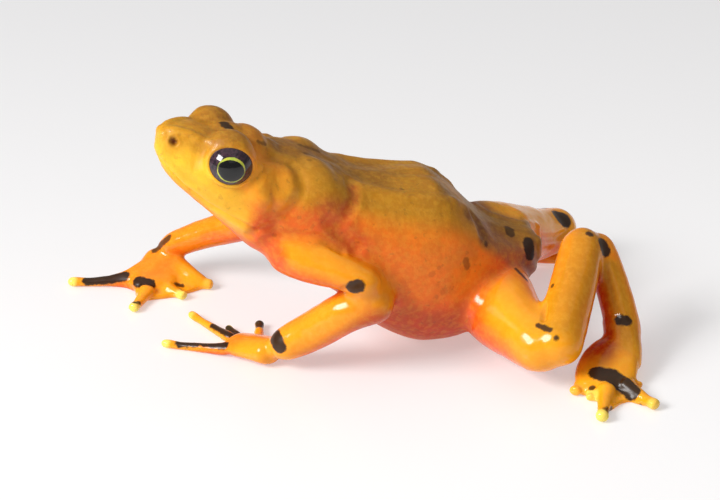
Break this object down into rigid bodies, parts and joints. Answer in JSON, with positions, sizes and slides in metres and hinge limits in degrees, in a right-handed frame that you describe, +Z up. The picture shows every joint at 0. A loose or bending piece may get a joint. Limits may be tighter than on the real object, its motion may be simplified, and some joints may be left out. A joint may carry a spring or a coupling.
{
  "type": "variable harlequin frog model",
  "caption": "Life-size still model of a variable harlequin frog walking with its head and chest raised, orange and yellow with dark spots, resting on its feet and belly.",
  "frame": {"origin": "centre of the bounding box in plan, on the floor that the frog rests on", "axes": "-X is the way the frog faces, -Y its left side, +Z up"},
  "size_m": [0.0666, 0.0513, 0.0314],
  "materials": {
    "skin_back": "moist skin, olive yellow to orange with dark brown spots",
    "skin_limb": "moist orange skin with a few black marks",
    "digit_tip": "moist yellow and black skin of fingers and toes",
    "eye": "glossy dark eye with a golden green ring and a black pupil"
  },
  "bodies": {
    "root": {"head": "skin_back", "torso": "skin_back", "eye_left": "eye", "eye_right": "eye", "upper_arm_left": "skin_limb", "forearm_left": "skin_limb", "hand_left": "skin_limb", "thigh_left": "skin_limb", "shank_left": "skin_limb", "tarsus_left": "skin_limb", "foot_left": "skin_limb", "upper_arm_right": "skin_limb", "forearm_right": "skin_limb", "hand_right": "skin_limb", "thigh_right": "skin_limb", "shank_right": "skin_limb", "tarsus_right": "skin_limb", "foot_right": "skin_limb", "finger_left_1": "digit_tip", "finger_left_2": "digit_tip", "finger_left_3": "digit_tip", "finger_left_4": "digit_tip", "finger_right_1": "digit_tip", "finger_right_2": "digit_tip", "finger_right_3": "digit_tip", "finger_right_4": "digit_tip", "toe_left_1": "digit_tip", "toe_left_2": "digit_tip", "toe_left_3": "digit_tip", "toe_left_4": "digit_tip", "toe_left_5": "digit_tip", "toe_right_1": "digit_tip", "toe_right_2": "digit_tip", "toe_right_3": "digit_tip", "toe_right_4": "digit_tip", "toe_right_5": "digit_tip"}
  },
  "joints": []
}
